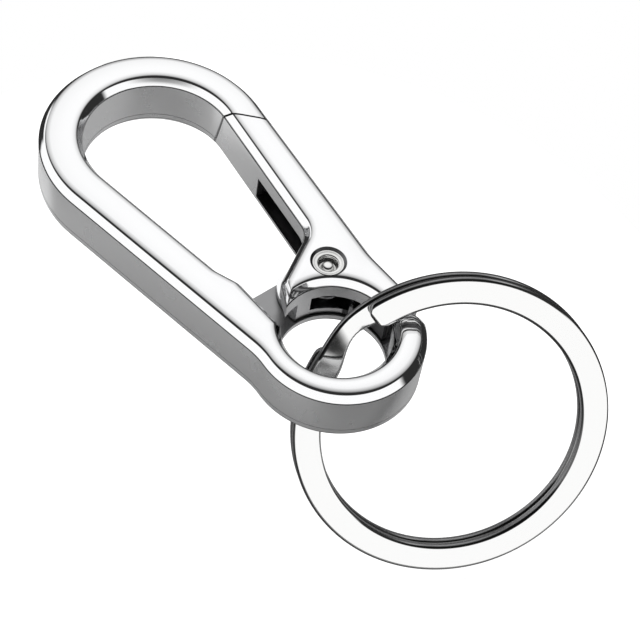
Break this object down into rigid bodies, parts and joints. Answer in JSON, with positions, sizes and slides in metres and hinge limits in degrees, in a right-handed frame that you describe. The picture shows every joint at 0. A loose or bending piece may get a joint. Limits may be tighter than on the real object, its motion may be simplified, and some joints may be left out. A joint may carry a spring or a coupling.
{
  "type": "key ring",
  "caption": "Chromed cast snap hook with a sprung swinging gate and a flat-wire split ring in its eye, for carrying keys on a belt loop.",
  "frame": {"origin": "on the flat back face, in the middle of the loop's band at its far end from the eye", "axes": "+X from the loop to the eye, +Y from the spine to the gate, +Z out of the front face"},
  "size_m": [0.0601, 0.0317, 0.027],
  "materials": {
    "chrome_hook": "polished plating on a zinc casting",
    "chrome_gate": "polished plating on a zinc casting",
    "nickel_rivet": "nickel-plated steel, satin",
    "spring_wire": "drawn spring steel",
    "steel_ring": "nickel-plated flat steel wire"
  },
  "bodies": {
    "frame": {"hook_frame": "chrome_hook", "hinge_rivet": "nickel_rivet", "gate_spring": "spring_wire"},
    "gate": {"gate": "chrome_gate"},
    "ring": {"split_ring": "steel_ring"}
  },
  "joints": [
    {"name": "gate_hinge", "type": "hinge", "parent": "frame", "child": "gate", "pos_m": [0.03066, 0.0036, 0.0032], "axis": [0, 0, 1], "range_deg": [0, 30], "stiffness_Nm_per_rad": 0.05, "springref_deg": -57.3, "deforming": ["gate_spring"]},
    {"name": "ring_swing", "type": "hinge", "parent": "frame", "child": "ring", "pos_m": [0.03775, -0.00166, 0.0032], "axis": [0.538, 0.8429, 0], "range_deg": [-2, 45]}
  ]
}
